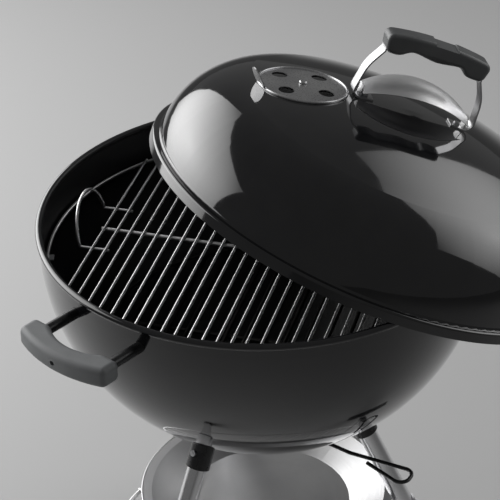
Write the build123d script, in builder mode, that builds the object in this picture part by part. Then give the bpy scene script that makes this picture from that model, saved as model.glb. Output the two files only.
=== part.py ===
"""Kettle charcoal grill, in millimetres, standing on z = 0 under the axis of its bowl.

The side handles lie on the X axis. The capped leg is under the left handle, and the two legs with
wheels are on the right. The lid leans off the bowl to the right, as it is put down while cooking.
"""
import os
from math import acos, asin, cos, degrees, radians, sin, sqrt, tan

from build123d import *

os.makedirs("parts", exist_ok=True)

# Bowl
rim_height = 720.0
bowl_radius = 282.0
bowl_wall = 1.6
bowl_band = 22.0
bead_radius = 4.5
vent_count = 3
vent_inner = 38.0
vent_outer = 92.0
vent_width = 24.0

# Cooking grate and the tabs that carry it
grate_drop = 53.0
grate_side_gap = 6.9
ring_rod = 5.0
grate_rod = 3.6
grate_pitch = 17.6
grate_bar_margin = 60.0
grate_turn = -63.1
loop_set_in = 44.5
loop_half_width = 48.5
loop_leg = 39.0
loop_rod = 4.0
loop_lean = 12.0
weld_depth = 0.8
tab_count = 4
tab_first_azimuth = 133.3
tab_width = 12.0
tab_length = 8.0
tab_thickness = 2.0

# Charcoal grate
coal_drop = 190.0
coal_rod = 6.0
coal_bar = 5.0
coal_pitch = 26.0
coal_bar_margin = 10.0

# Cleaning sweep under and inside the bowl
shaft_radius = 7.0
flange_radius = 20.0
flange_thickness = 2.5
blade_length = 118.0
blade_root_width = 14.0
blade_tip_width = 58.0
blade_thickness = 1.5
blade_rivet_radius = 2.0
blade_rivet_place = 14.0
lever_rod_diameter = 5.0
lever_drop = 11.0
lever_azimuth = -84.8
lever_straight = 135.0
lever_bend_radius = 30.0
hairpin_width = 34.0
hairpin_length = 89.0
hairpin_radius = 12.0
bushing_radius = 13.0

# Legs, wheels and what hangs between the legs
leg_diameter = 25.4
leg_wall = 1.5
leg_splay = 25.2
leg_seat_angle = 24.0
leg_top_gap = 6.0
foot_azimuth = 180.0
wheel_azimuth = 60.0
socket_wall = 3.0
socket_length = 45.0
button_radius = 4.0
button_stand = 2.5
foot_cap_wall = 3.0
foot_cap_length = 42.0
foot_cap_floor = 12.0
wheel_radius = 75.0
wheel_width = 30.0
wheel_rim = 13.0
wheel_web = 6.0
wheel_hole = 11.0
hub_radius = 17.0
hub_boss = 7.0
axle_radius = 5.0
axle_below_leg = 20.0
hub_cap_radius = 14.0
hub_cap_height = 9.0
catcher_drop = 129.0
catcher_depth = 23.0
catcher_floor_radius = 111.0
catcher_lip = 12.0
catcher_bead = 1.8
catcher_wall = 1.0
clip_wall = 2.2
clip_height = 14.0
clip_ledge_width = 16.0
clip_ledge_reach = 13.0
clip_ledge_thickness = 2.5
rack_height = 190.0
rack_rod = 6.0
rack_bar_rod = 4.0
rack_pitch = 40.0
rack_bars_each_side = 4
rack_pin_depth = 12.0

# Side handles
handle_drop = 30.0
stub_radius = 7.0
stub_half_spread = 54.0
stub_insert = 12.0
handle_gap = 43.0
grip_bow = 42.0
grip_half_length = 71.0
grip_depth = 27.0
grip_height = 27.0
grip_end_width = 26.0
grip_fillet = 8.0
grip_screw_radius = 3.2
grip_hole_depth = 9.0

# Lid and where it leans
lid_height = 154.0
lid_wall = 1.2
lid_skirt_clearance = 7.0
lid_skirt_height = 14.0
lid_step = 9.0
lid_step_radius = 3.2
lid_knuckle = 110.0
lid_lean = 24.2
lid_lean_azimuth = -28.9
lid_shift = 136.7
lid_shift_azimuth = -27.5
lid_rest_rise = 5.9
lid_handle_turn = -10.9
lid_handle_side = 7.0

# Lid damper
damper_radius = 58.0
damper_place = 140.0
damper_side = 19.0
damper_wall = 1.2
damper_bead = 1.6
damper_hole = 10.0
damper_hole_place = 36.0
damper_tab_width = 30.0
damper_tab_height = 24.0
damper_tab_lean = 28.0
damper_tab_turn = 11.0
damper_rib_inner = 12.0
damper_rib_outer = 44.0
damper_rib_width = 4.0
damper_rib_rise = 0.7
damper_rivet = 5.0

# Lid handle and heat shield
strap_foot = 84.0
strap_bow = 79.0
strap_bow_height = 40.0
strap_toe = 54.0
strap_top = 66.0
strap_width = 20.0
strap_thickness = 2.0
strap_bend = 10.0
strap_bow_radius = 60.0
lid_bolt_place = 64.0
lid_bolt_radius = 2.5
lid_bolt_head = 4.5
lid_nut = 5.0
lid_grip_under = 72.0
lid_grip_droop = 7.0
lid_grip_thick = 24.0
lid_grip_half_length = 72.0
lid_grip_lobe = 55.0
lid_grip_waist = 36.0
lid_grip_belly = 1.0
lid_grip_width = 30.0
lid_grip_corner = 9.0
lid_grip_fillet = 5.0
lid_grip_middle = 7.0
lid_grip_recess = 32.0
lid_grip_recess_depth = 3.5
rib_count = 15
rib_pitch = 2.9
rib_width = 1.3
rib_depth = 0.9
rib_rise = 7.0
strap_insert = 12.0
shield_height = 39.0
shield_half_length = 73.0
shield_end_height = 13.0
shield_curve = 54.0
shield_wrap = 40.0
shield_wall = 1.0
shield_flange = 16.0

# Fits
weld_gap = 0.05
slip_gap = 0.15
seat_gap = 0.3
running_gap = 0.1

# Heights and centres that the pieces share
ball_height = rim_height - bowl_band
ball = Vector(0, 0, ball_height)
bowl_inner = bowl_radius - bowl_wall
bowl_bottom = ball_height - bowl_radius
bead_ring = bowl_radius + bead_radius - 5.0
leg_radius = leg_diameter / 2


def finish(piece, name):
    """Label a piece and write it."""
    piece.label = name
    export_step(piece, f"parts/{name}.step")


def direction(azimuth, elevation=0.0):
    """Unit vector at an azimuth from X and an elevation above the floor."""
    flat = cos(radians(elevation))
    return Vector(
        flat * cos(radians(azimuth)), flat * sin(radians(azimuth)), sin(radians(elevation))
    )


def ball_trim(radius, mode):
    """Trim the open piece with a ball about the centre of the bowl."""
    with Locations(ball):
        Sphere(radius, mode=mode)


# Bowl: a band and a half ball with a rolled bead, three vents and a shaft hole
with BuildPart() as bowl:
    with BuildSketch(Plane.XZ):
        with BuildLine():
            outer = CenterArc((0, ball_height), bowl_radius, -90, 90)
            band_out = Line(outer @ 1, (bowl_radius, rim_height - bead_radius))
            band_top = Line(band_out @ 1, (bowl_inner, rim_height - bead_radius))
            Line(band_top @ 1, (bowl_inner, ball_height))
            inner = CenterArc((0, ball_height), bowl_inner, 0, -90)
            Line(inner @ 1, outer @ 0)
        make_face()
        with Locations((bead_ring, rim_height - bead_radius)):
            Circle(bead_radius)
    revolve(axis=Axis.Z)
    with BuildSketch(Plane.XY.offset(bowl_bottom - bowl_wall)):
        with PolarLocations((vent_inner + vent_outer) / 2, vent_count):
            SlotOverall(vent_outer - vent_inner, vent_width)
        Circle(shaft_radius + running_gap)
    extrude(amount=bowl_radius / 4, mode=Mode.SUBTRACT)
finish(bowl.part, "bowl")

# Grate tabs: small steel rests welded to the wall of the bowl
grate_height = rim_height - grate_drop
grate_ring_radius = bowl_inner - grate_side_gap
tab_top = grate_height - ring_rod / 2 - slip_gap
with BuildPart() as grate_tabs:
    with BuildSketch(Plane.XY.offset(tab_top - tab_thickness)):
        with PolarLocations(grate_ring_radius, tab_count, start_angle=tab_first_azimuth):
            Rectangle(2 * tab_length, tab_width)
    extrude(amount=tab_thickness)
    ball_trim(bowl_inner - weld_gap, Mode.INTERSECT)
finish(grate_tabs.part, "grate_tabs")

# Cooking grate: plated bars welded into a ring, with a cross rod and two loop handles
grate_base = Plane(
    origin=(0, 0, grate_height), x_dir=direction(grate_turn), z_dir=(0, 0, 1)
)
bar_lift = (ring_rod + grate_rod) / 2 - weld_depth
grate_bars_each_side = int((grate_ring_radius - grate_bar_margin) / grate_pitch)
loop_reach = grate_ring_radius - loop_set_in
loop_inner_reach = loop_reach - loop_leg
with BuildPart(grate_base) as cooking_grate:
    Torus(grate_ring_radius, ring_rod / 2)
    for step in range(-grate_bars_each_side, grate_bars_each_side + 1):
        across = step * grate_pitch
        bar_length = 2 * (sqrt(grate_ring_radius**2 - across**2) + weld_depth)
        with Locations((across, 0, bar_lift)):
            Cylinder(grate_rod / 2, bar_length, rotation=(90, 0, 0))
    cross_length = 2 * (grate_bars_each_side * grate_pitch + ring_rod)
    Cylinder(ring_rod / 2, cross_length, rotation=(0, 90, 0))
    wire_drop = (grate_rod + loop_rod) / 2 - weld_depth - bar_lift
    for side in (-1, 1):
        foot = side * loop_reach
        for end in (-loop_half_width, loop_half_width):
            with Locations((side * (loop_reach + loop_inner_reach) / 2, end, -wire_drop)):
                Cylinder(loop_rod / 2, loop_reach - loop_inner_reach, rotation=(0, 90, 0))
            with Locations((foot, end, -wire_drop)):
                Sphere(loop_rod / 2)
        arch_lean = side * loop_half_width * sin(radians(loop_lean))
        arch_rise = loop_half_width * cos(radians(loop_lean))
        with BuildLine(grate_base) as arch:
            ThreePointArc(
                (foot, -loop_half_width, -wire_drop),
                (foot + arch_lean, 0, arch_rise - wire_drop),
                (foot, loop_half_width, -wire_drop),
            )
        with BuildSketch(Plane(origin=arch.line @ 0, z_dir=arch.line % 0)):
            Circle(loop_rod / 2)
        sweep(path=arch.line)
finish(cooking_grate.part, "cooking_grate")

# Charcoal grate: heavier bars in a ring that rests on the wall of the bowl
coal_below_ball = coal_drop - bowl_band
coal_ring = sqrt((bowl_inner - seat_gap - coal_rod / 2) ** 2 - coal_below_ball**2)
coal_bars_each_side = int((coal_ring - coal_bar_margin) / coal_pitch)
coal_base = Plane(
    origin=(0, 0, rim_height - coal_drop), x_dir=direction(grate_turn), z_dir=(0, 0, 1)
)
with BuildPart(coal_base) as charcoal_grate:
    Torus(coal_ring, coal_rod / 2)
    for step in range(-coal_bars_each_side, coal_bars_each_side + 1):
        across = step * coal_pitch
        with Locations((across, 0, 0)):
            Cylinder(coal_bar / 2, 2 * sqrt(coal_ring**2 - across**2), rotation=(90, 0, 0))
    with Locations((0, 0, weld_depth - (coal_bar + coal_rod) / 2)):
        Cylinder(coal_rod / 2, 2 * coal_bars_each_side * coal_pitch, rotation=(0, 90, 0))
finish(charcoal_grate.part, "charcoal_grate")

# Sweep hub: a shaft through the bottom of the bowl with a dished flange over the blades
blade_outer = bowl_inner - seat_gap
blade_inner = blade_outer - blade_thickness
flange_outer = blade_inner - weld_gap
lever_height = bowl_bottom - lever_drop
shaft_bottom = lever_height - 2 * lever_rod_diameter
with BuildPart() as sweep_hub:
    with BuildSketch(Plane.XY.offset(bowl_bottom)):
        Circle(flange_radius)
    extrude(amount=bowl_radius / 2)
    ball_trim(flange_outer, Mode.INTERSECT)
    ball_trim(flange_outer - flange_thickness, Mode.SUBTRACT)
    with BuildSketch(Plane.XY.offset(shaft_bottom)):
        Circle(shaft_radius)
    extrude(amount=ball_height - flange_outer + flange_thickness / 2 - shaft_bottom)
    with BuildSketch(Plane.XY.offset(bowl_bottom)):
        with PolarLocations(blade_rivet_place, 3):
            Circle(blade_rivet_radius + running_gap)
    extrude(amount=bowl_radius / 2, mode=Mode.SUBTRACT)
    with BuildSketch(Plane(origin=(0, 0, lever_height), z_dir=direction(lever_azimuth))):
        Circle(lever_rod_diameter / 2 + slip_gap)
    extrude(amount=2 * shaft_radius, both=True, mode=Mode.SUBTRACT)
finish(sweep_hub.part, "sweep_hub")

# Sweep blades: three dished fingers that lie close to the inside of the bowl
for number in range(3):
    blade_base = Plane(
        origin=(0, 0, bowl_bottom), x_dir=direction(120 * number), z_dir=(0, 0, 1)
    )
    blade_root = shaft_radius + seat_gap
    with BuildPart() as sweep_blade:
        with BuildSketch(blade_base):
            with BuildLine():
                Polyline(
                    (blade_length, -blade_tip_width / 2),
                    (blade_root, -blade_root_width / 2),
                    (blade_root, blade_root_width / 2),
                    (blade_length, blade_tip_width / 2),
                )
                RadiusArc(
                    (blade_length, blade_tip_width / 2),
                    (blade_length, -blade_tip_width / 2),
                    blade_length,
                )
            make_face()
            with Locations((blade_rivet_place, 0)):
                Circle(blade_rivet_radius + running_gap, mode=Mode.SUBTRACT)
        extrude(amount=bowl_radius / 2)
        ball_trim(blade_outer, Mode.INTERSECT)
        ball_trim(blade_inner, Mode.SUBTRACT)
    finish(sweep_blade.part, f"sweep_blade_{number + 1}")

# Blade rivets: one through the flange and each blade
rivet_low = ball_height - sqrt(blade_outer**2 - (blade_rivet_place - blade_rivet_radius) ** 2)
rivet_high = ball_height - sqrt((flange_outer - flange_thickness) ** 2 - flange_radius**2)
with BuildPart() as blade_rivets:
    with BuildSketch(Plane.XY.offset(rivet_low + weld_gap)):
        with PolarLocations(blade_rivet_place, 3):
            Circle(blade_rivet_radius)
    extrude(amount=rivet_high - rivet_low)
    with BuildSketch(Plane.XY.offset(rivet_high)):
        with PolarLocations(blade_rivet_place, 3):
            Circle(2 * blade_rivet_radius)
    extrude(amount=blade_rivet_radius)
finish(blade_rivets.part, "blade_rivets")

# Hub bushing: a sleeve on the shaft between the bowl and the lever
bushing_low = lever_height + lever_rod_diameter / 2 + slip_gap
bushing_high = bowl_bottom - slip_gap
with BuildPart() as hub_bushing:
    with BuildSketch(Plane.XY.offset(bushing_low)):
        Circle(bushing_radius)
        Circle(shaft_radius + slip_gap, mode=Mode.SUBTRACT)
    extrude(amount=bushing_high - bushing_low)
finish(hub_bushing.part, "hub_bushing")

# Lever rod: wire through the shaft, bent a little aside and back in a hairpin
lever_base = Plane(
    origin=(0, 0, lever_height), x_dir=direction(lever_azimuth), z_dir=(0, 0, 1)
)
lever_tip = lever_straight + hairpin_length
with BuildPart() as lever_rod:
    with BuildLine(lever_base) as lever_path:
        FilletPolyline(
            (-2 * shaft_radius, 0),
            (lever_straight, 0),
            (lever_tip, hairpin_width / 2),
            (lever_tip + hairpin_radius / 2, -hairpin_width / 2),
            (lever_straight + hairpin_length / 3, -hairpin_width / 8),
            radius=[lever_bend_radius, hairpin_radius, hairpin_radius],
        )
    with BuildSketch(Plane(origin=lever_path.line @ 0, z_dir=lever_path.line % 0)):
        Circle(lever_rod_diameter / 2)
    sweep(path=lever_path.line)
finish(lever_rod.part, "lever_rod")

# Leg axes: each leaves the ball of the bowl at one angle and leans out at another
leg_azimuths = {"foot": foot_azimuth, "wheel_front": -wheel_azimuth, "wheel_rear": wheel_azimuth}
seat_radius = bowl_radius * sin(radians(leg_seat_angle))
seat_height = ball_height - bowl_radius * cos(radians(leg_seat_angle))
leg_flat = leg_radius / cos(radians(leg_splay))


def leg_reach(height):
    """Distance of a leg's axis from the axis of the bowl at a height."""
    return seat_radius + (seat_height - height) * tan(radians(leg_splay))


def leg_plane(azimuth, height):
    """Plane square to a leg at a height, with Z down along the leg and X away from the bowl."""
    down = direction(azimuth, leg_splay - 90)
    out = direction(azimuth, leg_splay)
    return Plane(origin=direction(azimuth) * leg_reach(height) + Vector(0, 0, height),
                 x_dir=out, z_dir=down)


def along_leg(drop):
    """Length along a leg for a drop in height."""
    return drop / cos(radians(leg_splay))


# Leg sockets: black sleeves welded under the bowl
button_from_seat = socket_length * 0.55
for name, azimuth in leg_azimuths.items():
    top = leg_plane(azimuth, seat_height)
    with BuildPart() as leg_socket:
        with BuildSketch(top.offset(-leg_diameter)):
            Circle(leg_radius + slip_gap + socket_wall)
            Circle(leg_radius + slip_gap, mode=Mode.SUBTRACT)
        extrude(amount=leg_diameter + socket_length)
        ball_trim(bowl_radius + weld_gap, Mode.SUBTRACT)
        with BuildSketch(Plane(origin=top.offset(button_from_seat).origin, z_dir=top.x_dir)):
            Circle(button_radius + slip_gap)
        extrude(amount=2 * leg_diameter, mode=Mode.SUBTRACT)
    finish(leg_socket.part, f"leg_socket_{name}")

# Leg buttons: the sprung catches that hold each leg in its socket
with BuildPart() as leg_buttons:
    for azimuth in leg_azimuths.values():
        top = leg_plane(azimuth, seat_height)
        spot = Plane(origin=top.offset(button_from_seat).origin, z_dir=top.x_dir)
        with BuildSketch(spot.offset(leg_radius - leg_wall / 2)):
            Circle(button_radius)
        extrude(amount=leg_wall / 2 + slip_gap + socket_wall + button_stand)
finish(leg_buttons.part, "leg_buttons")

# Legs: bright tubes, one long to a foot and two drilled for the axle
axle_height = wheel_radius
rack_reach = leg_reach(rack_height)
for name, azimuth in leg_azimuths.items():
    if name == "foot":
        leg_length = along_leg(seat_height) - foot_cap_floor
    else:
        leg_length = along_leg(seat_height - axle_height) + axle_below_leg
    top = leg_plane(azimuth, seat_height)
    with BuildPart() as leg:
        with BuildSketch(top.offset(leg_top_gap)):
            Circle(leg_radius)
            Circle(leg_radius - leg_wall, mode=Mode.SUBTRACT)
        extrude(amount=leg_length - leg_top_gap)
        with BuildSketch(Plane(origin=top.offset(button_from_seat).origin, z_dir=top.x_dir)):
            Circle(button_radius + slip_gap)
        extrude(amount=leg_diameter, mode=Mode.SUBTRACT)
        rack_end = direction(azimuth) * rack_reach + Vector(0, 0, rack_height)
        with BuildSketch(Plane(origin=rack_end, z_dir=direction(azimuth) * -1)):
            Circle(rack_rod / 2 + slip_gap)
        extrude(amount=leg_diameter, mode=Mode.SUBTRACT)
        if name != "foot":
            hub_spot = direction(azimuth) * leg_reach(axle_height) + Vector(0, 0, axle_height)
            with BuildSketch(Plane(origin=hub_spot, z_dir=(0, 1, 0))):
                Circle(axle_radius + running_gap)
            extrude(amount=2 * leg_diameter, both=True, mode=Mode.SUBTRACT)
    finish(leg.part, f"leg_{name}")

# Foot cap: a plastic shoe on the leg without a wheel, cut flat on the floor
foot_top = leg_plane(foot_azimuth, 0)
cap_radius = leg_radius + slip_gap + foot_cap_wall
with BuildPart() as foot_cap:
    with BuildSketch(foot_top.offset(-foot_cap_length)):
        Circle(cap_radius)
    extrude(amount=2 * foot_cap_length)
    with BuildSketch(foot_top.offset(-foot_cap_floor)):
        Circle(leg_radius + slip_gap)
    extrude(amount=-2 * foot_cap_length, mode=Mode.SUBTRACT)
    split(bisect_by=Plane.XY, keep=Keep.TOP)
finish(foot_cap.part, "foot_cap")

# Axle: one rod across the two wheeled legs
axle_across = leg_reach(axle_height) * cos(radians(wheel_azimuth))
leg_end_height = axle_height - axle_below_leg * cos(radians(leg_splay))
leg_end_across = leg_reach(leg_end_height) * sin(radians(wheel_azimuth))
hub_start = leg_end_across + leg_flat + seat_gap
wheel_start = hub_start + hub_boss
wheel_end = wheel_start + wheel_width
axle_half = wheel_end + hub_cap_height / 2
with BuildPart() as axle:
    with BuildSketch(Plane(origin=(axle_across, 0, axle_height), z_dir=(0, 1, 0))):
        Circle(axle_radius)
    extrude(amount=axle_half, both=True)
finish(axle.part, "axle")

# Wheels and hub caps: moulded wheels that turn on the axle, kept on by pressed caps
for name, side in (("front", -1), ("rear", 1)):
    inside = Plane(origin=(axle_across, side * wheel_start, axle_height), z_dir=(0, side, 0))
    outside = inside.offset(wheel_width)
    with BuildPart() as wheel:
        with BuildSketch(inside):
            Circle(wheel_radius)
        extrude(amount=wheel_width)
        rims = wheel.edges().filter_by(GeomType.CIRCLE)
        fillet(rims, radius=wheel_rim / 3)
        pocket = (wheel_width - wheel_web) / 2
        for face, way in ((inside, 1), (outside, -1)):
            with BuildSketch(face):
                Circle(wheel_radius - wheel_rim)
                Circle(hub_radius, mode=Mode.SUBTRACT)
            extrude(amount=way * pocket, mode=Mode.SUBTRACT)
        with BuildSketch(inside):
            with PolarLocations((hub_radius + wheel_radius - wheel_rim) / 2, 6):
                Circle(wheel_hole)
        extrude(amount=wheel_width, mode=Mode.SUBTRACT)
        with BuildSketch(inside.offset(-hub_boss)):
            Circle(hub_radius - hub_boss / 2)
        extrude(amount=hub_boss)
        with BuildSketch(inside.offset(-hub_boss)):
            Circle(axle_radius + running_gap)
        extrude(amount=wheel_width + hub_boss, mode=Mode.SUBTRACT)
    finish(wheel.part, f"wheel_{name}")
    cap_face = outside.offset(seat_gap)
    with BuildPart() as hub_cap:
        with BuildSketch(cap_face):
            Circle(hub_cap_radius)
        extrude(amount=hub_cap_height)
        crown = hub_cap.edges().filter_by(GeomType.CIRCLE).sort_by(Axis.Y)[0 if side < 0 else -1]
        fillet(crown, radius=hub_cap_height / 2)
        with BuildSketch(cap_face):
            Circle(axle_radius + weld_gap)
        extrude(amount=hub_cap_height / 2, mode=Mode.SUBTRACT)
    finish(hub_cap.part, f"hub_cap_{name}")

# Bottom rack: a ring of wire with bars, pinned into the three legs
rack_ring = rack_reach - leg_flat - rack_rod / 2 - seat_gap
rack_bar_lift = (rack_rod + rack_bar_rod) / 2 - weld_depth
with BuildPart(Plane.XY.offset(rack_height)) as bottom_rack:
    Torus(rack_ring, rack_rod / 2)
    for step in range(-rack_bars_each_side, rack_bars_each_side + 1):
        across = step * rack_pitch
        bar_length = 2 * (sqrt(rack_ring**2 - across**2) + weld_depth)
        with Locations((across, 0, rack_bar_lift)):
            Cylinder(rack_bar_rod / 2, bar_length, rotation=(90, 0, 0))
    for azimuth in leg_azimuths.values():
        start = direction(azimuth) * rack_ring + Vector(0, 0, rack_height)
        with BuildSketch(Plane(origin=start, z_dir=direction(azimuth))):
            Circle(rack_rod / 2 - weld_depth)
        extrude(amount=rack_pin_depth)
finish(bottom_rack.part, "bottom_rack")

# Ash catcher: a spun dish with a rolled lip, hung between the legs
catcher_height = bowl_bottom - catcher_drop
catcher_radius = leg_reach(catcher_height) - leg_flat - 2 * seat_gap
catcher_edge = catcher_radius - catcher_bead
catcher_lip_inner = catcher_edge - catcher_lip
catcher_low = catcher_height - catcher_depth
with BuildPart() as ash_catcher:
    with BuildSketch(Plane.XZ):
        with BuildLine():
            Polyline(
                (0, catcher_low),
                (catcher_floor_radius, catcher_low),
                (catcher_lip_inner, catcher_height),
                (catcher_edge, catcher_height),
                (catcher_edge, catcher_height + catcher_wall),
                (catcher_lip_inner - catcher_wall, catcher_height + catcher_wall),
                (catcher_floor_radius - catcher_wall, catcher_low + catcher_wall),
                (0, catcher_low + catcher_wall),
                close=True,
            )
        make_face()
        with Locations((catcher_edge, catcher_height)):
            Circle(catcher_bead)
    revolve(axis=Axis.Z)
finish(ash_catcher.part, "ash_catcher")

# Ash catcher clips: a collar on each leg with a ledge under the lip of the dish
ledge_top = catcher_height - catcher_bead - slip_gap
ledge_start = catcher_radius - clip_ledge_reach
collar_radius = leg_radius + slip_gap + clip_wall
with BuildPart() as ash_catcher_clips:
    for azimuth in leg_azimuths.values():
        collar = leg_plane(azimuth, ledge_top + collar_radius * sin(radians(leg_splay)) - slip_gap)
        with BuildSketch(collar):
            Circle(collar_radius)
        extrude(amount=clip_height)
        ledge_low = ledge_top - clip_ledge_thickness
        ledge = Plane(origin=(0, 0, ledge_low), x_dir=direction(azimuth), z_dir=(0, 0, 1))
        ledge_end = leg_reach(ledge_low) - leg_flat
        with BuildSketch(ledge):
            with Locations(((ledge_start + ledge_end) / 2, 0)):
                Rectangle(ledge_end - ledge_start + clip_wall, clip_ledge_width)
        extrude(amount=clip_ledge_thickness)
        with BuildSketch(collar.offset(-clip_height)):
            Circle(leg_radius + slip_gap)
        extrude(amount=3 * clip_height, mode=Mode.SUBTRACT)
finish(ash_catcher_clips.part, "ash_catcher_clips")

# Side handles: two round stubs on the bowl, a moulded grip and its screw
handle_height = rim_height - handle_drop
grip_inner = bowl_radius + handle_gap
grip_outer = grip_inner + grip_bow
for name, side in (("left", -1), ("right", 1)):
    handle_base = Plane(
        origin=(0, 0, handle_height), x_dir=(side, 0, 0), z_dir=(0, 0, 1)
    )
    root = Plane(origin=(0, 0, handle_height), x_dir=(0, 1, 0), z_dir=(side, 0, 0))
    stub_places = [(-stub_half_spread, 0), (stub_half_spread, 0)]
    with BuildPart() as handle_stubs:
        with BuildSketch(root.offset(bowl_radius / 2)):
            with Locations(stub_places):
                Circle(stub_radius)
        extrude(amount=grip_inner + stub_insert - slip_gap - bowl_radius / 2)
        ball_trim(bowl_radius + weld_gap, Mode.SUBTRACT)
    finish(handle_stubs.part, f"handle_stubs_{name}")
    end_inner = grip_half_length - grip_end_width
    end_outer = grip_inner + grip_depth
    with BuildPart() as handle_grip:
        with BuildSketch(handle_base.offset(-grip_height / 2)):
            with BuildLine():
                Polyline(
                    (grip_inner, end_inner),
                    (grip_inner, grip_half_length),
                    (end_outer, grip_half_length),
                )
                ThreePointArc(
                    (end_outer, grip_half_length), (grip_outer, 0), (end_outer, -grip_half_length)
                )
                Polyline(
                    (end_outer, -grip_half_length),
                    (grip_inner, -grip_half_length),
                    (grip_inner, -end_inner),
                )
                ThreePointArc(
                    (grip_inner, -end_inner),
                    (grip_outer - grip_depth, 0),
                    (grip_inner, end_inner),
                )
            make_face()
        extrude(amount=grip_height)
        fillet(handle_grip.edges().filter_by(Axis.Z), radius=grip_fillet)
        fillet(handle_grip.edges().filter_by(Axis.Z, reverse=True), radius=grip_fillet)
        with BuildSketch(root.offset(grip_inner - stub_insert)):
            with Locations(stub_places):
                Circle(stub_radius + slip_gap)
        extrude(amount=2 * stub_insert, mode=Mode.SUBTRACT)
        with BuildSketch(root.offset(grip_outer - grip_hole_depth)):
            Circle(grip_screw_radius + slip_gap)
        extrude(amount=2 * grip_hole_depth, mode=Mode.SUBTRACT)
    finish(handle_grip.part, f"handle_grip_{name}")

with BuildPart() as handle_screws:
    for side in (-1, 1):
        root = Plane(origin=(0, 0, handle_height), x_dir=(0, 1, 0), z_dir=(side, 0, 0))
        with BuildSketch(root.offset(grip_outer - grip_hole_depth)):
            Circle(grip_screw_radius)
        extrude(amount=grip_hole_depth / 3)
finish(handle_screws.part, "handle_screws")

# Lid frame: X runs along the lid handle and Z out of the top of the dome
lid_skirt = bead_ring + bead_radius + lid_skirt_clearance
lid_dome = lid_skirt - lid_step
lean_sine = sin(radians(lid_lean))
lean_cosine = cos(radians(lid_lean))
cross_b = lid_shift * lid_skirt * lean_cosine
cross_a = (lid_skirt * lean_sine) ** 2
cross_c = lid_shift**2 + lid_skirt**2 - bead_ring**2
crossing = (cross_b - sqrt(cross_b**2 + cross_a * cross_c)) / cross_a
lid_rim_height = rim_height + lid_skirt * lean_sine * crossing + lid_rest_rise
lid_up = direction(lid_lean_azimuth, 90 - lid_lean)
lid_fall = direction(lid_lean_azimuth, -lid_lean)
lid_level = Plane(
    origin=direction(lid_shift_azimuth) * lid_shift + Vector(0, 0, lid_rim_height),
    x_dir=lid_fall,
    z_dir=lid_up,
)
turned = lid_level.x_dir.rotate(Axis((0, 0, 0), lid_up), lid_handle_turn)
lid_base = Plane(origin=lid_level.origin, x_dir=turned, z_dir=lid_up)
lid_axis = Axis(lid_base.origin, lid_up)
lid_cross = Axis(lid_base.origin, lid_base.y_dir)
dome_rise = lid_height - lid_skirt_height
crown_radius = (lid_dome**2 + dome_rise**2 - 2 * lid_dome * lid_knuckle) / (
    2 * (dome_rise - lid_knuckle)
)
crown_drop = lid_height - crown_radius
knuckle_centre = lid_dome - lid_knuckle
knuckle_turn = degrees(acos(knuckle_centre / (crown_radius - lid_knuckle)))


def lid_side(across=0.0, turn=0.0, lift=0.0):
    """Upright plane along the lid handle, set across the lid and tipped about a line at a lift."""
    up = lid_up * cos(radians(turn)) + lid_base.y_dir * sin(radians(turn))
    return Plane(
        origin=lid_base.origin + lid_base.y_dir * across + lid_up * lift,
        x_dir=lid_base.x_dir,
        z_dir=lid_base.x_dir.cross(up),
    )


def crown_plane(along, across, lift=0.0):
    """Plane that touches the crown of the lid at a place, raised off it by a lift."""
    rise = sqrt(crown_radius**2 - along**2 - across**2)
    centre = lid_base.from_local_coords(Vector(0, 0, crown_drop))
    spot = lid_base.from_local_coords(Vector(along, across, crown_drop + rise))
    up = (spot - centre).normalized()
    sideways = lid_base.y_dir.cross(up)
    return Plane(origin=spot + up * lift, x_dir=sideways, z_dir=up)


def crown_height(along):
    """Height of the crown over the rim of the lid, at a distance from its axis."""
    return crown_drop + sqrt(crown_radius**2 - along**2)


# Lid: a pressed dome with a step and a skirt, pierced for the damper and the handle bolts
damper_spot = crown_plane(-damper_place, damper_side)
with BuildPart() as lid:
    with BuildSketch(lid_side()):
        with BuildLine():
            skirt_out = Line((lid_skirt, 0), (lid_skirt, lid_skirt_height))
            Line(skirt_out @ 1, (lid_dome, lid_skirt_height))
            CenterArc((knuckle_centre, lid_skirt_height), lid_knuckle, 0, knuckle_turn)
            crown_out = CenterArc((0, crown_drop), crown_radius, knuckle_turn, 90 - knuckle_turn)
            Line(crown_out @ 1, (0, lid_height - lid_wall))
            CenterArc(
                (0, crown_drop), crown_radius - lid_wall, 90, knuckle_turn - 90
            )
            knuckle_in = CenterArc(
                (knuckle_centre, lid_skirt_height), lid_knuckle - lid_wall, knuckle_turn, -knuckle_turn
            )
            wall_in = Line(knuckle_in @ 1, (lid_dome - lid_wall, lid_skirt_height - lid_wall))
            step_in = Line(wall_in @ 1, (lid_skirt - lid_wall, lid_skirt_height - lid_wall))
            skirt_in = Line(step_in @ 1, (lid_skirt - lid_wall, 0))
            Line(skirt_in @ 1, (lid_skirt, 0))
        make_face()
        step_corners = (
            (skirt_out @ 1, lid_step_radius),
            (step_in @ 1, lid_step_radius - lid_wall),
            (Vector(lid_dome, lid_skirt_height), lid_step_radius),
        )
        for corner, radius in step_corners:
            fillet(vertices().sort_by_distance(corner)[0], radius)
    revolve(axis=lid_axis)
    with BuildSketch(damper_spot.offset(-damper_radius / 2)):
        with PolarLocations(damper_hole_place, 4, start_angle=45):
            Circle(damper_hole)
        Circle(damper_rivet / 2 + running_gap)
    extrude(amount=damper_radius, mode=Mode.SUBTRACT)
    for side in (-1, 1):
        with BuildSketch(crown_plane(side * lid_bolt_place, lid_handle_side, -2 * lid_bolt_head)):
            Circle(lid_bolt_radius + slip_gap)
        extrude(amount=4 * lid_bolt_head, mode=Mode.SUBTRACT)
finish(lid.part, "lid")

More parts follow.
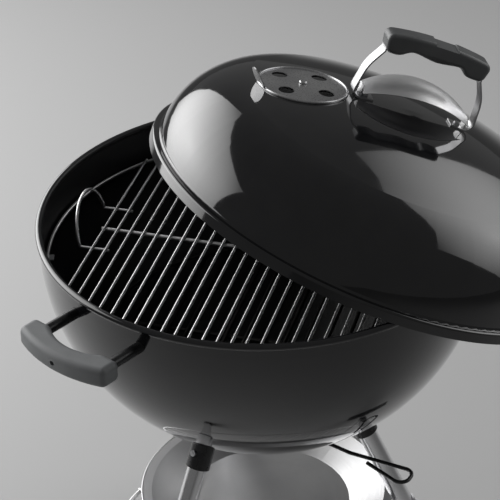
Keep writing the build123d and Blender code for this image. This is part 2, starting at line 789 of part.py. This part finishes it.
# Lid damper: a dished plate that turns on its rivet to cover the four holes
damper_low = crown_radius + seat_gap
damper_high = damper_low + damper_wall
damper_side_plane = Plane(
    origin=damper_spot.origin - damper_spot.z_dir * crown_radius,
    x_dir=damper_spot.x_dir,
    z_dir=damper_spot.y_dir * -1,
)
damper_turn = degrees(asin(damper_radius / damper_low))
edge_rise = sqrt(damper_low**2 - damper_radius**2) + damper_bead
tab_out = damper_spot.x_dir.rotate(Axis((0, 0, 0), damper_spot.z_dir), damper_tab_turn) * -1
tab_along = damper_spot.z_dir.cross(tab_out)
tab_up = (
    damper_spot.z_dir * cos(radians(damper_tab_lean)) + tab_out * sin(radians(damper_tab_lean))
)
tab_face = Plane(
    origin=damper_side_plane.origin
    + tab_out * (damper_radius - damper_bead)
    + damper_spot.z_dir * edge_rise,
    x_dir=tab_along,
    z_dir=tab_along.cross(tab_up),
)
rib_low = damper_high - damper_wall / 2
rib_high = damper_high + damper_rib_rise
rib_turn = degrees(asin(damper_rib_outer / rib_low))
with BuildPart() as damper_ribs:
    with BuildSketch(damper_side_plane):
        with BuildLine():
            inside = CenterArc((0, 0), rib_low, 90 - rib_turn, rib_turn)
            Line(inside @ 1, (0, rib_high))
            outside = CenterArc((0, 0), rib_high, 90, -rib_turn)
            Line(outside @ 1, inside @ 0)
        make_face()
    revolve(axis=Axis(damper_spot.origin, damper_spot.z_dir))
    with BuildSketch(damper_spot.offset(-damper_radius / 2)):
        Rectangle(2 * damper_rib_outer, damper_rib_width)
        Rectangle(damper_rib_width, 2 * damper_rib_outer)
        Circle(damper_rib_inner)
    extrude(amount=damper_radius, mode=Mode.INTERSECT)
with BuildPart() as lid_damper:
    with BuildSketch(damper_side_plane):
        with BuildLine():
            under = CenterArc((0, 0), damper_low, 90 - damper_turn, damper_turn)
            Line(under @ 1, (0, damper_high))
            over = CenterArc((0, 0), damper_high, 90, -damper_turn)
            Line(over @ 1, under @ 0)
        make_face()
        with Locations((damper_radius - damper_bead, edge_rise)):
            Circle(damper_bead)
    revolve(axis=Axis(damper_spot.origin, damper_spot.z_dir))
    add(damper_ribs.part)
    with BuildSketch(damper_spot.offset(-damper_radius / 2)):
        with PolarLocations(damper_hole_place, 4, start_angle=45):
            Circle(damper_hole)
        Circle(damper_rivet / 2 + running_gap)
    extrude(amount=damper_radius, mode=Mode.SUBTRACT)
    with BuildSketch(tab_face):
        with BuildLine():
            tongue = ThreePointArc(
                (-damper_tab_width / 2, 0), (0, damper_tab_height), (damper_tab_width / 2, 0)
            )
            Line(tongue @ 1, tongue @ 0)
        make_face()
    extrude(amount=damper_wall / 2, both=True)
finish(lid_damper.part, "lid_damper")

# Damper rivet: headed above the damper and under the lid
rivet_top = damper_high - crown_radius + damper_rib_rise + running_gap
rivet_under = -lid_wall - running_gap
with BuildPart() as damper_rivet_piece:
    with BuildSketch(damper_spot.offset(rivet_under)):
        Circle(damper_rivet / 2)
    extrude(amount=rivet_top - rivet_under)
    with BuildSketch(damper_spot.offset(rivet_top)):
        Circle(damper_rivet)
    extrude(amount=damper_rivet / 2)
    fillet(damper_rivet_piece.faces().sort_by(Axis(damper_spot.origin, damper_spot.z_dir))[-1].edges(),
           radius=damper_rivet / 3)
    with BuildSketch(damper_spot.offset(rivet_under)):
        Circle(damper_rivet)
    extrude(amount=-damper_rivet / 2)
finish(damper_rivet_piece.part, "damper_rivet")

# Lid straps: flat steel bent from a foot on the dome up into the grip
handle_side = lid_side(lid_handle_side)
grip_bottom = lid_height + lid_grip_under
grip_low = grip_bottom - lid_grip_droop
strap_line = strap_thickness / 2 + seat_gap
for name, side in (("left", -1), ("right", 1)):
    with BuildPart() as lid_strap:
        with BuildSketch(handle_side) as strap_shape:
            with BuildLine() as strap_path:
                FilletPolyline(
                    (side * strap_toe, crown_height(strap_toe) + strap_line),
                    (side * strap_foot, crown_height(strap_foot) + strap_line),
                    (side * strap_bow, lid_height + strap_bow_height),
                    (side * strap_top, grip_low),
                    (side * strap_top, grip_low + strap_insert),
                    radius=[strap_bend, strap_bow_radius, strap_bend / 2],
                )
            trace(lines=strap_path.line, line_width=strap_thickness)
        extrude(amount=strap_width / 2, both=True)
        with BuildSketch(crown_plane(side * lid_bolt_place, lid_handle_side)):
            Circle(lid_bolt_radius + slip_gap)
        extrude(amount=2 * lid_bolt_head, mode=Mode.SUBTRACT)
    finish(lid_strap.part, f"lid_strap_{name}")

# Lid bolts and nuts: one through the foot of each strap
bolt_seat = seat_gap + strap_thickness + running_gap
nut_seat = -lid_wall - running_gap
with BuildPart() as lid_bolts:
    for side in (-1, 1):
        spot = crown_plane(side * lid_bolt_place, lid_handle_side)
        with BuildSketch(spot.offset(nut_seat - 1.5 * lid_nut)):
            Circle(lid_bolt_radius)
        extrude(amount=bolt_seat - nut_seat + 1.5 * lid_nut)
        with BuildSketch(spot.offset(bolt_seat)):
            Circle(lid_bolt_head)
        extrude(amount=lid_bolt_head * 0.7)
finish(lid_bolts.part, "lid_bolts")

with BuildPart() as lid_nuts:
    for side in (-1, 1):
        spot = crown_plane(side * lid_bolt_place, lid_handle_side)
        with BuildSketch(spot.offset(nut_seat)):
            RegularPolygon(lid_nut, 6)
            Circle(lid_bolt_radius + slip_gap, mode=Mode.SUBTRACT)
        extrude(amount=-lid_nut)
finish(lid_nuts.part, "lid_nuts")

# Lid grip: an arched moulding with a lobe at each end, a recess on top, fine ribs beneath and a
# slot for each strap
grip_top = grip_bottom + lid_grip_thick
grip_end = grip_top - lid_grip_droop
with BuildPart() as lid_grip:
    with BuildSketch(handle_side):
        with BuildLine():
            Spline(
                (-lid_grip_lobe, grip_low),
                (-lid_grip_waist, grip_bottom + lid_grip_belly),
                (0, grip_bottom - lid_grip_belly),
                (lid_grip_waist, grip_bottom + lid_grip_belly),
                (lid_grip_lobe, grip_low),
                tangents=((1, 0), (1, 0)),
            )
            Polyline(
                (lid_grip_lobe, grip_low),
                (lid_grip_half_length - lid_grip_fillet, grip_low),
                (lid_grip_half_length, grip_end),
            )
            ThreePointArc(
                (lid_grip_half_length, grip_end), (0, grip_top), (-lid_grip_half_length, grip_end)
            )
            Polyline(
                (-lid_grip_half_length, grip_end),
                (lid_grip_fillet - lid_grip_half_length, grip_low),
                (-lid_grip_lobe, grip_low),
            )
        make_face()
    extrude(amount=lid_grip_width / 2, both=True)
    corners = lid_grip.edges().filter_by(lid_cross).sort_by(Axis(lid_base.origin, lid_base.x_dir))
    fillet(corners[:2] + corners[-2:], radius=lid_grip_corner)
    fillet(lid_grip.edges().filter_by(lid_cross, reverse=True), radius=lid_grip_fillet)
    with BuildSketch(handle_side):
        with Locations((lid_grip_middle, grip_top)):
            Rectangle(lid_grip_recess, 2 * lid_grip_recess_depth)
    extrude(amount=lid_grip_width, both=True, mode=Mode.SUBTRACT)
    rib_spot = handle_side.from_local_coords(Vector(lid_grip_middle, grip_bottom, 0))
    rib_face = Plane(origin=rib_spot, x_dir=lid_base.y_dir, z_dir=lid_base.x_dir)
    for step in range(rib_count):
        along = (step - (rib_count - 1) / 2) * rib_pitch
        with BuildSketch(rib_face.offset(along - rib_width / 2)):
            Rectangle(2 * lid_grip_width, 2 * rib_rise)
            with Locations((0, lid_grip_thick / 2 + rib_depth)):
                RectangleRounded(
                    lid_grip_width - 2 * rib_depth,
                    lid_grip_thick,
                    lid_grip_fillet - rib_depth,
                    mode=Mode.SUBTRACT,
                )
        extrude(amount=rib_width, mode=Mode.SUBTRACT)
    with BuildSketch(handle_side):
        for side in (-1, 1):
            with Locations((side * strap_top, grip_low)):
                Rectangle(strap_thickness + 2 * slip_gap, 2 * (strap_insert + slip_gap))
    extrude(amount=strap_width / 2 + slip_gap, both=True, mode=Mode.SUBTRACT)
finish(lid_grip.part, "lid_grip")

# Heat shield: a polished plate arched both ways, standing on the strap feet by its end flanges
shield_top = lid_height + shield_height
shield_end = lid_height + shield_end_height
shield_centre = shield_top - shield_curve
shield_start = lid_side(lid_handle_side, shield_wrap, shield_centre)
flange_low = crown_height(shield_half_length) + seat_gap + strap_thickness + seat_gap
with BuildPart() as heat_shield:
    with BuildSketch(shield_start):
        with BuildLine():
            over = ThreePointArc(
                (-shield_half_length, shield_end - shield_centre),
                (0, shield_curve),
                (shield_half_length, shield_end - shield_centre),
            )
            right = Line(over @ 1, (shield_half_length, shield_end - shield_centre - shield_wall))
            below = ThreePointArc(
                right @ 1,
                (0, shield_curve - shield_wall),
                (-shield_half_length, shield_end - shield_centre - shield_wall),
            )
            Line(below @ 1, over @ 0)
        make_face()
    revolve(axis=Axis(shield_start.origin, lid_base.x_dir), revolution_arc=2 * shield_wrap)
    with BuildSketch(handle_side):
        for side in (-1, 1):
            flange_along = side * (shield_half_length - shield_wall / 2)
            with Locations((flange_along, (flange_low + shield_end) / 2)):
                Rectangle(shield_wall, shield_end - flange_low)
    extrude(amount=shield_flange / 2, both=True)
finish(heat_shield.part, "heat_shield")
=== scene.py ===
from math import cos, radians, sin

import bpy
from mathutils import Matrix, Vector

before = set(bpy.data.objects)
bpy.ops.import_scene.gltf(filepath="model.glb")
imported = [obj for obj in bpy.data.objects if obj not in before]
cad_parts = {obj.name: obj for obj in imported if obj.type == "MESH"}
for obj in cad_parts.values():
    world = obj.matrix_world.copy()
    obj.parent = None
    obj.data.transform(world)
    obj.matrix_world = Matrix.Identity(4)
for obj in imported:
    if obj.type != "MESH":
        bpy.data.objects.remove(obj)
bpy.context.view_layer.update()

# Legs: three bright drawn tubes, pushed up into their sockets and leaning out from the bowl.
# Fine drawing marks run down the length of each tube, and its gloss is a little uneven.
LEG_SPLAY = 25.2
LEG_AZIMUTHS = {"leg_foot": 180.0, "leg_wheel_front": -60.0, "leg_wheel_rear": 60.0}


def new_finish(name, colour, roughness, metallic=0.0):
    """Start a finish and give back its material, its node tree and its shader."""
    material = bpy.data.materials.new(name)
    material.use_nodes = True
    tree = material.node_tree
    shader = tree.nodes["Principled BSDF"]
    shader.inputs["Base Color"].default_value = (*colour, 1.0)
    shader.inputs["Roughness"].default_value = roughness
    shader.inputs["Metallic"].default_value = metallic
    return material, tree, shader


def marks(tree, scale, detail=4.0, stretch=(1.0, 1.0, 1.0), turn=(0.0, 0.0, 0.0)):
    """Noise over the piece in metres, stretched along directions turned with the piece."""
    place = tree.nodes.new("ShaderNodeTexCoord")
    turned = tree.nodes.new("ShaderNodeVectorRotate")
    turned.rotation_type = "EULER_XYZ"
    turned.invert = True
    turned.inputs["Rotation"].default_value = turn
    sized = tree.nodes.new("ShaderNodeMapping")
    sized.inputs["Scale"].default_value = stretch
    noise = tree.nodes.new("ShaderNodeTexNoise")
    noise.inputs["Scale"].default_value = scale
    noise.inputs["Detail"].default_value = detail
    tree.links.new(place.outputs["Object"], turned.inputs["Vector"])
    tree.links.new(turned.outputs["Vector"], sized.inputs["Vector"])
    tree.links.new(sized.outputs["Vector"], noise.inputs["Vector"])
    return noise.outputs["Fac"]


def spread(tree, source, low, high):
    """Spread the middle of a noise over a range of numbers."""
    ranged = tree.nodes.new("ShaderNodeMapRange")
    ranged.inputs["From Min"].default_value = 0.3
    ranged.inputs["From Max"].default_value = 0.7
    ranged.inputs["To Min"].default_value = low
    ranged.inputs["To Max"].default_value = high
    tree.links.new(source, ranged.inputs["Value"])
    return ranged.outputs["Result"]


def tint(tree, source, dark, light):
    """Spread the middle of a noise over two colours."""
    ramp = tree.nodes.new("ShaderNodeValToRGB")
    ramp.color_ramp.elements[0].position = 0.3
    ramp.color_ramp.elements[1].position = 0.7
    ramp.color_ramp.elements[0].color = (*dark, 1.0)
    ramp.color_ramp.elements[1].color = (*light, 1.0)
    tree.links.new(source, ramp.inputs["Fac"])
    return ramp.outputs["Color"]


def relief(tree, shader, source, depth, strength):
    """Raise and sink the surface by a noise, to a depth in metres."""
    bump = tree.nodes.new("ShaderNodeBump")
    bump.inputs["Strength"].default_value = strength
    bump.inputs["Distance"].default_value = depth
    tree.links.new(source, bump.inputs["Height"])
    tree.links.new(bump.outputs["Normal"], shader.inputs["Normal"])


def metal(
    name, dark, light, smooth, rough, grain,
    stretch=(1, 1, 1), turn=(0, 0, 0), depth=0.00001, bare=1.0,
):
    """A bare or plated metal with clouded colour, and with fine marks in its gloss and relief."""
    material, tree, shader = new_finish(name, light, rough, bare)
    scratches = marks(tree, grain, 6.0, stretch, turn)
    clouds = marks(tree, 14.0, 3.0)
    tree.links.new(tint(tree, clouds, dark, light), shader.inputs["Base Color"])
    tree.links.new(spread(tree, scratches, smooth, rough), shader.inputs["Roughness"])
    relief(tree, shader, scratches, depth, 0.4)
    return material


def dress(name, material, edge=0.0):
    """Put a finish on a piece of the frame and break its sharp edges."""
    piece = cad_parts[name]
    piece.data.materials.clear()
    piece.data.materials.append(material)
    if edge:
        rounding = piece.modifiers.new("edge", "BEVEL")
        rounding.width = edge
        rounding.segments = 2
        rounding.limit_method = "ANGLE"
        rounding.angle_limit = radians(40)
        rounding.harden_normals = True


for leg, azimuth in LEG_AZIMUTHS.items():
    drawn_tube = metal(
        "drawn_tube_" + leg, (0.70, 0.70, 0.71), (0.86, 0.86, 0.87), 0.13, 0.22, 420.0,
        stretch=(1.0, 1.0, 0.008), turn=(0.0, radians(-LEG_SPLAY), radians(azimuth)), depth=0.000004,
    )
    dress(leg, drawn_tube, 0.0003)

# Foot cap: a moulded black shoe on the one leg that has no wheel. It is pushed on and stands flat
# on the floor. Its surface has a fine grain.
def moulded(name, dark, light, rough, grain, depth):
    """A moulded plastic with a fine grain, clouded colour and slightly uneven gloss."""
    material, tree, shader = new_finish(name, light, rough)
    pits = marks(tree, grain, 3.0)
    clouds = marks(tree, 22.0, 5.0)
    tree.links.new(tint(tree, clouds, dark, light), shader.inputs["Base Color"])
    tree.links.new(spread(tree, clouds, rough - 0.07, rough + 0.08), shader.inputs["Roughness"])
    relief(tree, shader, pits, depth, 0.5)
    return material


black_plastic = moulded(
    "black_plastic", (0.014, 0.014, 0.015), (0.032, 0.032, 0.033), 0.48, 1400.0, 0.0001
)
dress("foot_cap", black_plastic, 0.0008)

# Axle, wheels and hub caps: a plated rod through the two short legs, and two moulded wheels that
# turn on it. Bright caps are pressed on its ends to keep them there.
zinc = metal("zinc_plate", (0.42, 0.43, 0.45), (0.60, 0.60, 0.60), 0.26, 0.45, 160.0, depth=0.00002)
cap_steel = metal("cap_steel", (0.62, 0.62, 0.63), (0.78, 0.78, 0.78), 0.10, 0.22, 300.0)
wheel_plastic = moulded(
    "wheel_plastic", (0.016, 0.016, 0.017), (0.036, 0.036, 0.037), 0.42, 900.0, 0.00015
)
dress("axle", zinc)
for end in ("front", "rear"):
    dress("wheel_" + end, wheel_plastic, 0.0008)
    dress("hub_cap_" + end, cap_steel, 0.0004)

# Bottom rack: plated wire welded in a ring with bars across it. It is pinned into the three legs to
# keep them from spreading.
plated_wire = metal("plated_wire", (0.78, 0.78, 0.79), (0.90, 0.90, 0.90), 0.30, 0.44, 240.0)
dress("bottom_rack", plated_wire)

# Ash catcher and its clips: a shallow dish spun from aluminium sheet, so that very fine rings run
# round it. Three sprung clips on the legs carry its rolled lip.
spun, tree, shader = new_finish("spun_aluminium", (0.80, 0.80, 0.80), 0.3, 1.0)
place = tree.nodes.new("ShaderNodeTexCoord")
flat = tree.nodes.new("ShaderNodeVectorMath")
flat.operation = "MULTIPLY"
flat.inputs[1].default_value = (1.0, 1.0, 0.0)
reach = tree.nodes.new("ShaderNodeVectorMath")
reach.operation = "LENGTH"
rings = tree.nodes.new("ShaderNodeTexNoise")
rings.noise_dimensions = "1D"
rings.inputs["Scale"].default_value = 420.0
rings.inputs["Detail"].default_value = 2.0
tree.links.new(place.outputs["Object"], flat.inputs[0])
tree.links.new(flat.outputs["Vector"], reach.inputs[0])
tree.links.new(reach.outputs["Value"], rings.inputs["W"])
clouds = marks(tree, 9.0, 4.0)
tree.links.new(tint(tree, clouds, (0.42, 0.42, 0.43), (0.52, 0.52, 0.52)), shader.inputs["Base Color"])
tree.links.new(spread(tree, rings.outputs["Fac"], 0.34, 0.42), shader.inputs["Roughness"])
relief(tree, shader, marks(tree, 160.0, 3.0), 0.00002, 0.15)
dress("ash_catcher", spun, 0.0004)
spring_steel = metal("spring_steel", (0.24, 0.24, 0.25), (0.40, 0.40, 0.41), 0.28, 0.42, 200.0)
dress("ash_catcher_clips", spring_steel, 0.0004)

# Leg sockets and buttons: short black coated sleeves welded under the bowl. A plated button shows
# through the side of each and catches the leg.
black_coat, tree, shader = new_finish("black_coat", (0.014, 0.014, 0.015), 0.3)
clouds = marks(tree, 60.0, 5.0)
coat_colour = tint(tree, clouds, (0.009, 0.009, 0.010), (0.022, 0.022, 0.023))
tree.links.new(coat_colour, shader.inputs["Base Color"])
tree.links.new(spread(tree, clouds, 0.20, 0.34), shader.inputs["Roughness"])
relief(tree, shader, marks(tree, 700.0, 2.0), 0.00005, 0.4)
for leg in LEG_AZIMUTHS:
    dress(leg.replace("leg_", "leg_socket_"), black_coat, 0.0006)
dress("leg_buttons", zinc, 0.0008)

# Bowl: a deep pressed steel kettle with a rolled rim, fired with black porcelain enamel inside and
# out. The glaze is a glossy layer with a very slight orange peel, and smoke has dulled the inside.
def enamelled(name):
    """A black glaze with slightly uneven gloss. Gives back its material, node tree and shader."""
    material, tree, shader = new_finish(name, (0.004, 0.004, 0.005), 0.07)
    shader.inputs["Coat Weight"].default_value = 0.6
    shader.inputs["Coat Roughness"].default_value = 0.03
    shader.inputs["Coat IOR"].default_value = 1.6
    glaze = marks(tree, 30.0, 4.0)
    glaze_colour = tint(tree, glaze, (0.003, 0.003, 0.004), (0.006, 0.006, 0.007))
    tree.links.new(glaze_colour, shader.inputs["Base Color"])
    tree.links.new(spread(tree, glaze, 0.05, 0.10), shader.inputs["Roughness"])
    relief(tree, shader, marks(tree, 110.0, 2.0), 0.00002, 0.2)
    return material, tree, shader


BOWL_CENTRE = (0.0, 0.0, 0.69)
bowl_enamel, tree, shader = enamelled("bowl_enamel")
spot = tree.nodes.new("ShaderNodeTexCoord")
outward = tree.nodes.new("ShaderNodeVectorMath")
outward.operation = "SUBTRACT"
outward.inputs[1].default_value = BOWL_CENTRE
facing = tree.nodes.new("ShaderNodeVectorMath")
facing.operation = "DOT_PRODUCT"
outside = tree.nodes.new("ShaderNodeMath")
outside.operation = "GREATER_THAN"
outside.inputs[1].default_value = 0.0
dulled = tree.nodes.new("ShaderNodeMix")
dulled.inputs["A"].default_value = 0.42
gloss = shader.inputs["Roughness"].links[0].from_socket
clear = tree.nodes.new("ShaderNodeMath")
clear.operation = "MULTIPLY"
clear.inputs[1].default_value = 0.6
tree.links.new(spot.outputs["Object"], outward.inputs[0])
tree.links.new(outward.outputs["Vector"], facing.inputs[0])
tree.links.new(spot.outputs["Normal"], facing.inputs[1])
tree.links.new(facing.outputs["Value"], outside.inputs[0])
tree.links.new(outside.outputs["Value"], dulled.inputs["Factor"])
tree.links.new(gloss, dulled.inputs["B"])
tree.links.new(dulled.outputs["Result"], shader.inputs["Roughness"])
tree.links.new(outside.outputs["Value"], clear.inputs[0])
tree.links.new(clear.outputs["Value"], shader.inputs["Coat Weight"])
dress("bowl", bowl_enamel)

# Cleaning sweep: a plated hub through the bottom of the bowl, three blades riveted under its flange
# and a bushing. Its lever is a black wire bent back on itself at the end.
blade_steel = metal("blade_steel", (0.16, 0.16, 0.16), (0.28, 0.28, 0.28), 0.32, 0.48, 130.0)
smoked_zinc = metal("smoked_zinc", (0.16, 0.155, 0.15), (0.30, 0.295, 0.29), 0.30, 0.48, 160.0)
for number in (1, 2, 3):
    dress(f"sweep_blade_{number}", blade_steel)
for plated in ("sweep_hub", "blade_rivets", "hub_bushing"):
    dress(plated, smoked_zinc)
dress("lever_rod", black_coat, 0.0006)

# Charcoal grate: plain steel bars welded in a ring, and darkened by heat. It lies loose on the
# wall of the bowl, under the cooking grate.
coal_steel = metal("coal_steel", (0.035, 0.034, 0.033), (0.09, 0.088, 0.085), 0.36, 0.55, 90.0)
dress("charcoal_grate", coal_steel)

# Cooking grate and its rests: plated bars on a ring, with a cross rod and two upright loops to lift
# it by. Four small steel tabs on the wall of the bowl carry it.
dress("cooking_grate", plated_wire)
dress("grate_tabs", zinc, 0.0003)

# Side handles: two black steel stubs on the bowl and a moulded grey grip with a fine grain. One
# screw sits at the bottom of a hole in its front.
grey_nylon = moulded("grey_nylon", (0.15, 0.156, 0.16), (0.20, 0.206, 0.21), 0.50, 1600.0, 0.00008)
for end in ("left", "right"):
    dress("handle_stubs_" + end, black_coat)
    dress("handle_grip_" + end, grey_nylon)
dress("handle_screws", black_coat, 0.0004)

# Lid: a dome pressed from one steel sheet, with a step and a skirt. It is fired with the same
# black enamel as the bowl, and leans on the rim.
lid_enamel = enamelled("lid_enamel")[0]
dress("lid", lid_enamel)

# Lid damper and its rivet: a dished aluminium plate with four holes, pressed ribs and a tab to turn
# it by. The plate has a dull, slightly mottled face.
satin = metal("satin_aluminium", (0.42, 0.42, 0.43), (0.66, 0.66, 0.66), 0.24, 0.38, 420.0, depth=0.00006)
dress("lid_damper", satin, 0.0003)
dress("damper_rivet", satin)

# Lid handle: two straps of bright flat steel, bolted through the dome, and an arched dark grey grip
# with a recess on top and ribs beneath.
LID_AXIS_X = (0.692736, -0.598405, -0.402527)
LID_AXIS_Z = (0.358873, -0.198109, 0.912120)
lid_axis_y = Vector(LID_AXIS_Z).cross(Vector(LID_AXIS_X))
lid_turn = Matrix((LID_AXIS_X, lid_axis_y, LID_AXIS_Z)).transposed().to_euler()
brushed = metal(
    "brushed_steel", (0.44, 0.44, 0.45), (0.58, 0.58, 0.58), 0.28, 0.40, 700.0,
    stretch=(0.015, 1.0, 1.0), turn=tuple(lid_turn),
)
dark_nylon = moulded("dark_nylon", (0.085, 0.088, 0.09), (0.125, 0.128, 0.13), 0.36, 1600.0, 0.00008)
for end in ("left", "right"):
    dress("lid_strap_" + end, brushed, 0.0004)
dress("lid_bolts", zinc, 0.0004)
dress("lid_nuts", zinc, 0.0003)
dress("lid_grip", dark_nylon, 0.0003)

# Heat shield: a brushed plate arched over the middle of the lid, between the straps. It keeps the
# heat off the fingers.
shield_steel = metal(
    "shield_steel", (0.70, 0.70, 0.71), (0.86, 0.86, 0.86), 0.36, 0.46, 700.0,
    stretch=(0.015, 1.0, 1.0), turn=tuple(lid_turn), bare=0.8,
)
dress("heat_shield", shield_steel, 0.0003)

# Floor: a plain pale studio floor, wide enough to fill the view.
FLOOR = 14.0
floor_mesh = bpy.data.meshes.new("floor")
corners = [(-FLOOR, -FLOOR, 0), (FLOOR, -FLOOR, 0), (FLOOR, FLOOR, 0), (-FLOOR, FLOOR, 0)]
floor_mesh.from_pydata(corners, [], [(0, 1, 2, 3)])
floor = bpy.data.objects.new("floor", floor_mesh)
bpy.context.scene.collection.objects.link(floor)
pale, tree, shader = new_finish("pale_floor", (0.47, 0.47, 0.47), 0.7)
floor_mesh.materials.append(pale)

# Light: a large soft box behind on the left, brightest in its middle, and a weaker one on the
# right. A dim even room fills the shadows.
def soft_box(name, azimuth, elevation, distance, width, height, power):
    """An area lamp that faces the middle of the grill, and fades toward its edges."""
    lamp = bpy.data.lights.new(name, "AREA")
    lamp.shape = "RECTANGLE"
    lamp.size = width
    lamp.size_y = height
    lamp.energy = power
    lamp.use_nodes = True
    tree = lamp.node_tree
    over = tree.nodes.new("ShaderNodeNewGeometry")
    centred = tree.nodes.new("ShaderNodeMapping")
    centred.inputs["Location"].default_value = (-0.5, -0.45, 0.0)
    fall = tree.nodes.new("ShaderNodeTexGradient")
    fall.gradient_type = "SPHERICAL"
    glow = tree.nodes.new("ShaderNodeMapRange")
    glow.inputs["From Min"].default_value = 0.3
    glow.inputs["To Min"].default_value = 0.2
    glow.inputs["To Max"].default_value = 1.6
    tree.links.new(over.outputs["Parametric"], centred.inputs["Vector"])
    tree.links.new(centred.outputs["Vector"], fall.inputs["Vector"])
    tree.links.new(fall.outputs["Fac"], glow.inputs["Value"])
    tree.links.new(glow.outputs["Result"], tree.nodes["Emission"].inputs["Strength"])
    box = bpy.data.objects.new(name, lamp)
    flat_reach = cos(radians(elevation))
    toward = Vector((
        flat_reach * cos(radians(azimuth)), flat_reach * sin(radians(azimuth)), sin(radians(elevation))
    ))
    box.location = Vector((0.0, 0.0, 0.75)) + toward * distance
    box.rotation_euler = toward.to_track_quat("Z", "Y").to_euler()
    bpy.context.scene.collection.objects.link(box)


soft_box("left_box", 100.0, 21.0, 2.3, 3.6, 2.6, 104.0)
soft_box("right_box", -26.0, 25.0, 2.6, 3.4, 1.9, 30.0)
world = bpy.data.worlds.new("room")
world.use_nodes = True
world.node_tree.nodes["Background"].inputs["Color"].default_value = (1.0, 1.0, 1.0, 1.0)
world.node_tree.nodes["Background"].inputs["Strength"].default_value = 0.13
bpy.context.scene.world = world

# Camera: a long lens from above on the left, as in the photograph.
CAMERA_AZIMUTH = -46.9
CAMERA_ELEVATION = 32.82
CAMERA_ROLL = -1.253
CAMERA_PLACE = (-1.7957, -1.6563, 2.2434)
LENS = 165.45
azimuth, elevation, roll = radians(CAMERA_AZIMUTH), radians(CAMERA_ELEVATION), radians(CAMERA_ROLL)
backward = Vector((sin(azimuth) * cos(elevation), -cos(azimuth) * cos(elevation), sin(elevation)))
level = Vector((cos(azimuth), sin(azimuth), 0.0))
upright = backward.cross(level)
right = cos(roll) * level + sin(roll) * upright
top = -sin(roll) * level + cos(roll) * upright
lens = bpy.data.cameras.new("camera")
lens.sensor_width = 36.0
lens.lens = LENS
camera = bpy.data.objects.new("camera", lens)
camera.rotation_euler = Matrix((right, top, backward)).transposed().to_euler()
camera.location = CAMERA_PLACE
bpy.context.scene.collection.objects.link(camera)
bpy.context.scene.camera = camera
bpy.context.scene.view_settings.view_transform = "Standard"
